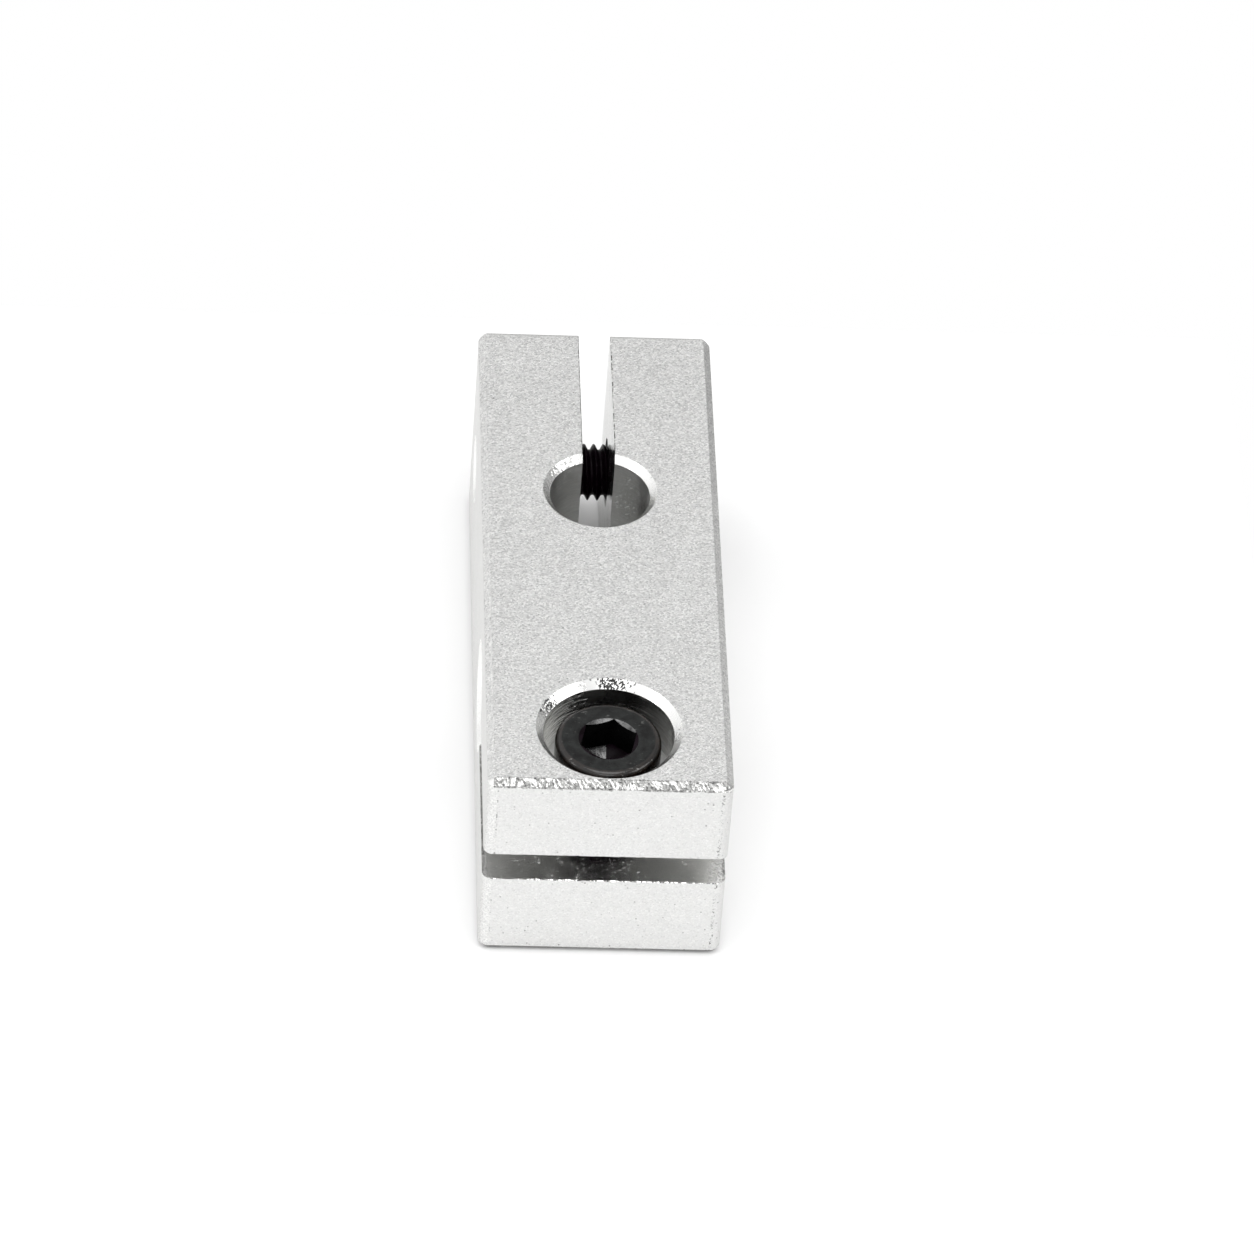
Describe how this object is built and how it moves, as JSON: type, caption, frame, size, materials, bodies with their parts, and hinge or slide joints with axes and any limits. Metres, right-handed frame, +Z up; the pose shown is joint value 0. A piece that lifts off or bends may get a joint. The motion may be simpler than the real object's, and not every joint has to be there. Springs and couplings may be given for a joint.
{
  "type": "shaft cross clamp",
  "caption": "Aluminium block that clamps round shafts at right angles: each end has a shaft bore, a slit open to that end and a counterbored cap screw that closes the slit.",
  "frame": {"origin": "middle of the block's bottom face", "axes": "+Y along the block from the end with the level slit to the end with the upright slit, +Z up along the rear shaft bore, +X along the front shaft bore, towards the rear screw's head"},
  "size_m": [0.019, 0.054, 0.018],
  "materials": {
    "blasted_aluminium": "bead-blasted outside, with bare machined bores, slits and chamfers",
    "black_oxide_steel": "black oxide, satin"
  },
  "bodies": {
    "block": {"clamp_block": "blasted_aluminium"},
    "front_screw": {"front_clamp_screw": "black_oxide_steel"},
    "rear_screw": {"rear_clamp_screw": "black_oxide_steel"}
  },
  "joints": [
    {"name": "front_screw_turn", "type": "hinge", "parent": "block", "child": "front_screw", "pos_m": [0, -0.0206, 0.0134], "axis": [0, 0, 1], "range_deg": [-150, 390]},
    {"name": "rear_screw_turn", "type": "hinge", "parent": "block", "child": "rear_screw", "pos_m": [0.0049, 0.02, 0.009], "axis": [1, 0, 0], "range_deg": [-150, 390]}
  ]
}
